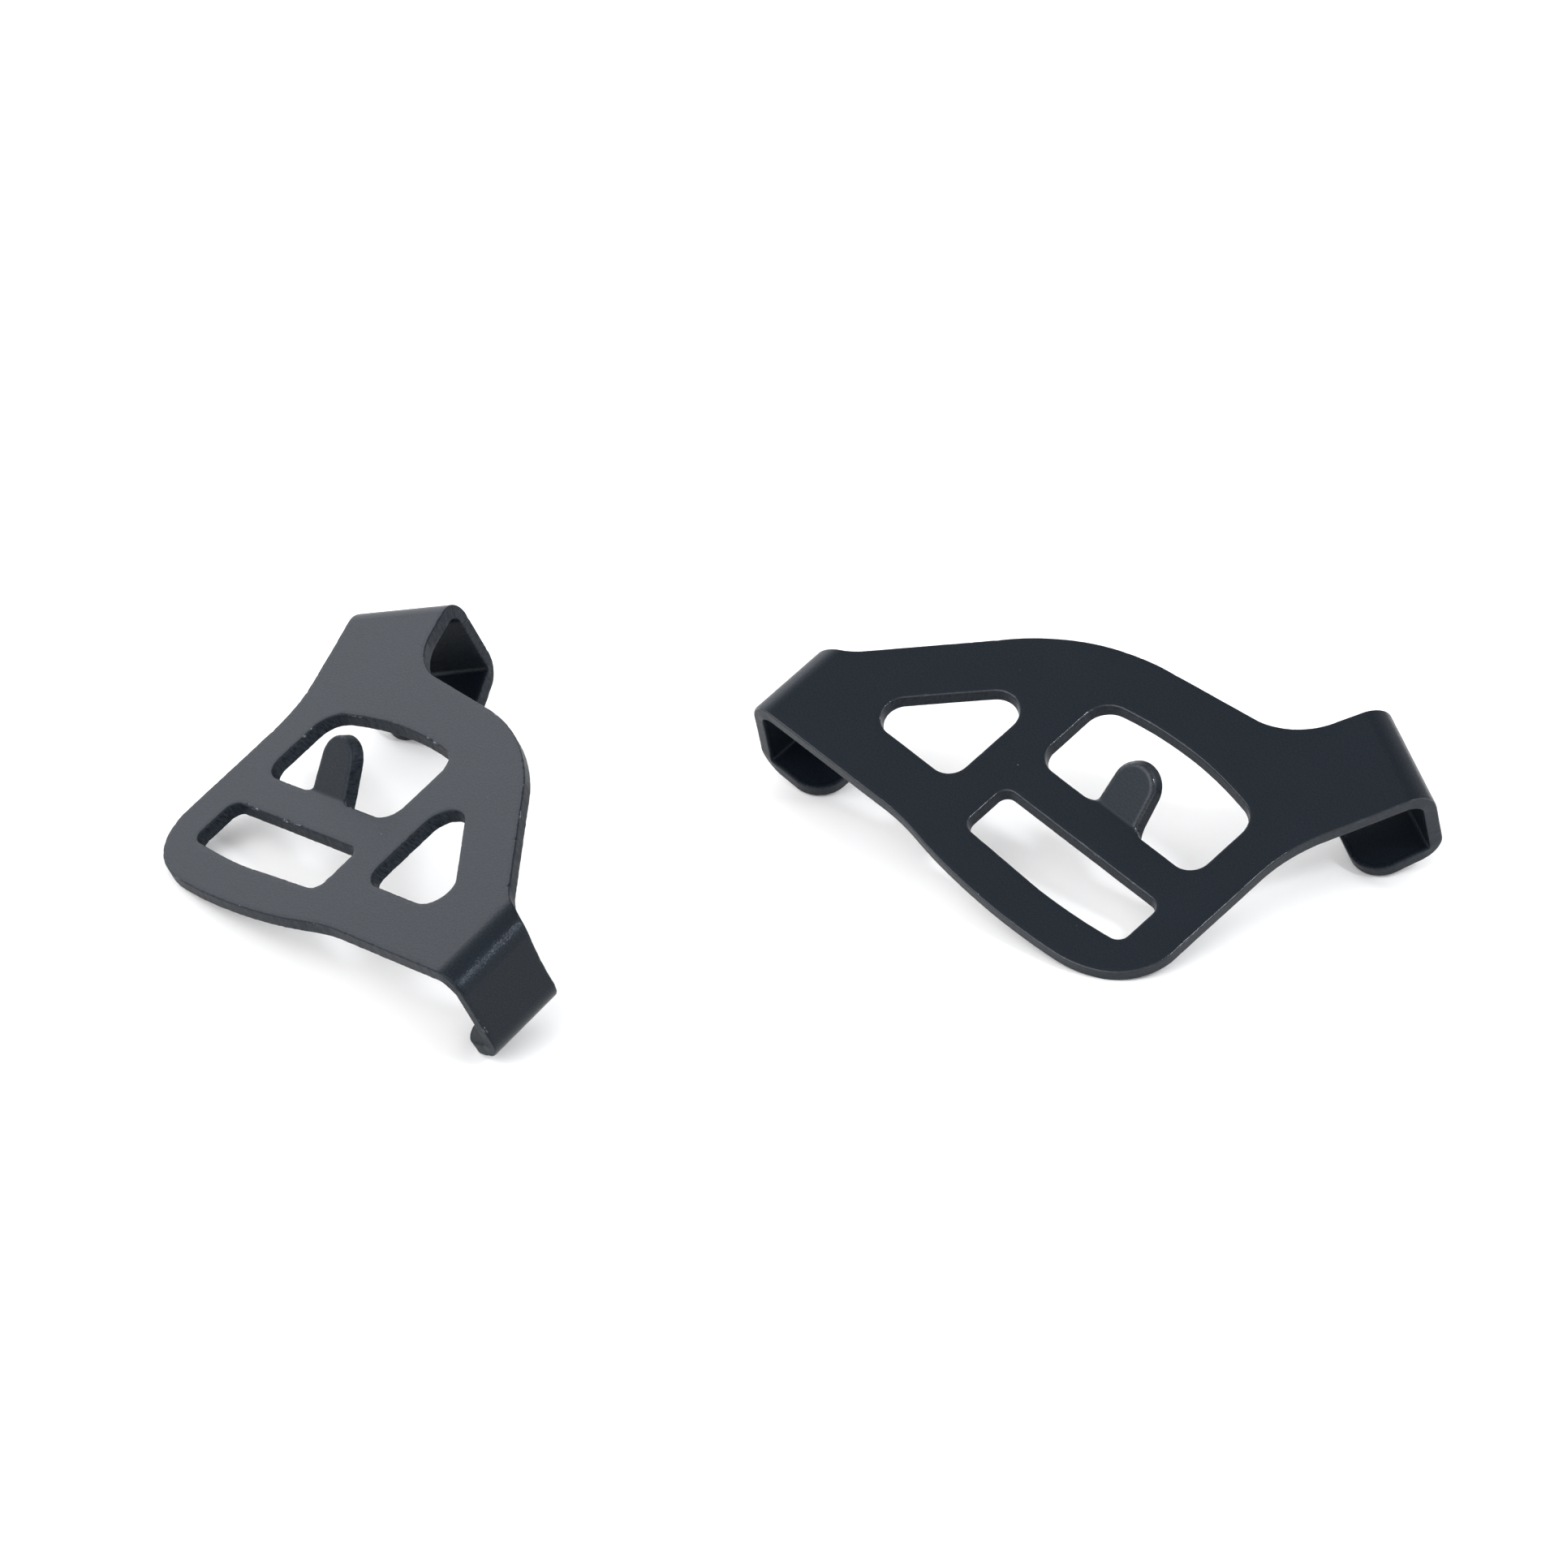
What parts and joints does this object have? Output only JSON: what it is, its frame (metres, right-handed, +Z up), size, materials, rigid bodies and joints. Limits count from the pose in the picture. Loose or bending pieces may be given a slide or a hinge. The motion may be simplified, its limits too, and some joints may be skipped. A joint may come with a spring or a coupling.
{
  "type": "clip-on sheet metal guard pair",
  "caption": "Left and right clip-on guards of bent black powder-coated sheet, each a pierced plate with a hook at both ends and a raised tab.",
  "frame": {"origin": "centre of the pair's bounding box, on the table under it", "axes": "+Z up from the table, +X along the pair towards the right guard, +Y away from the viewer; each guard lies as it does in use as a display, on its two hook lips and the lobe's edge"},
  "size_m": [0.1772, 0.0966, 0.0236],
  "materials": {
    "black_coat": "black satin powder coat with a fine grain, over steel sheet"
  },
  "bodies": {
    "root": {"right_guard": "black_coat"},
    "left_guard": {"left_guard": "black_coat"}
  },
  "joints": [
    {"name": "left_guard_lift", "type": "slide", "parent": "root", "child": "left_guard", "axis": [0, 0, 1], "range_m": [0, 0.06]}
  ]
}
